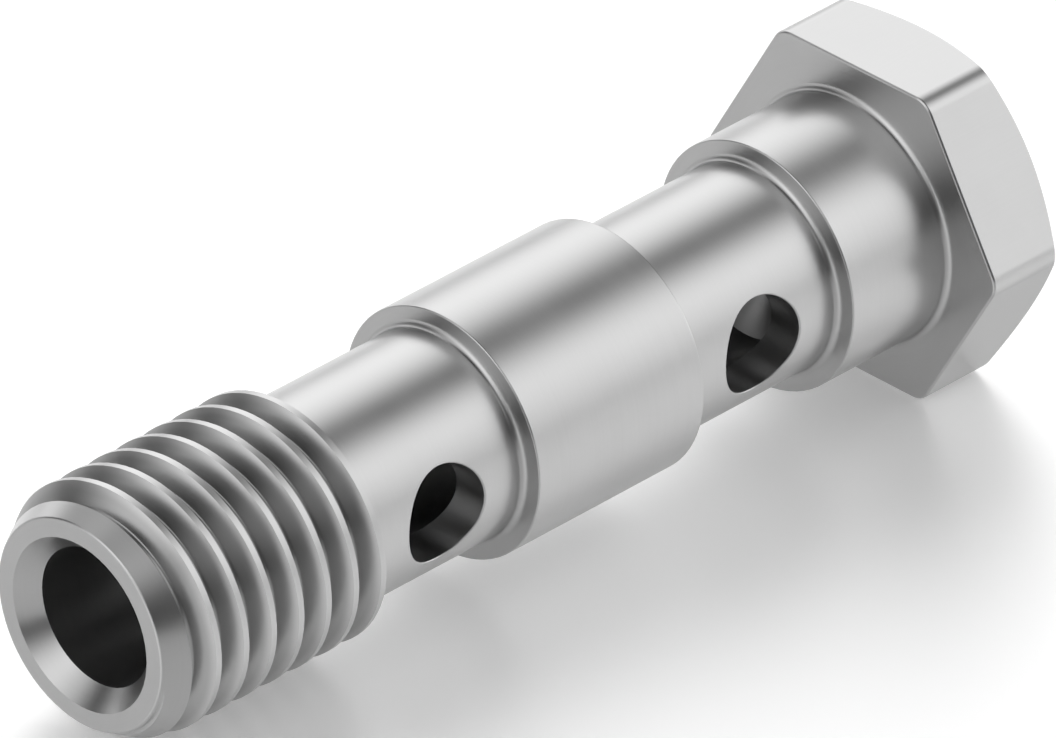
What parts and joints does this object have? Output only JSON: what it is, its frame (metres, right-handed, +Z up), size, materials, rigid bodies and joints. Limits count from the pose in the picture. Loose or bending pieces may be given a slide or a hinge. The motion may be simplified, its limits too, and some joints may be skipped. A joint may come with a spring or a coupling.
{
  "type": "banjo bolt",
  "caption": "Banjo bolt with a hexagon head, a coarse male thread, a blind bore and cross ports that feed the ring fittings stacked on its necks.",
  "frame": {"origin": "on the bolt's axis, in the plane of the threaded end face", "axes": "+X along the axis from the threaded end to the head, +Z up with one flat of the hexagon down, +Y to the back; the ports run along Y"},
  "size_m": [0.057, 0.0192, 0.017],
  "materials": {
    "steel": "fine-turned bright steel, satin, with a faint lay round the axis"
  },
  "bodies": {
    "root": {"banjo_bolt": "steel"}
  },
  "joints": []
}
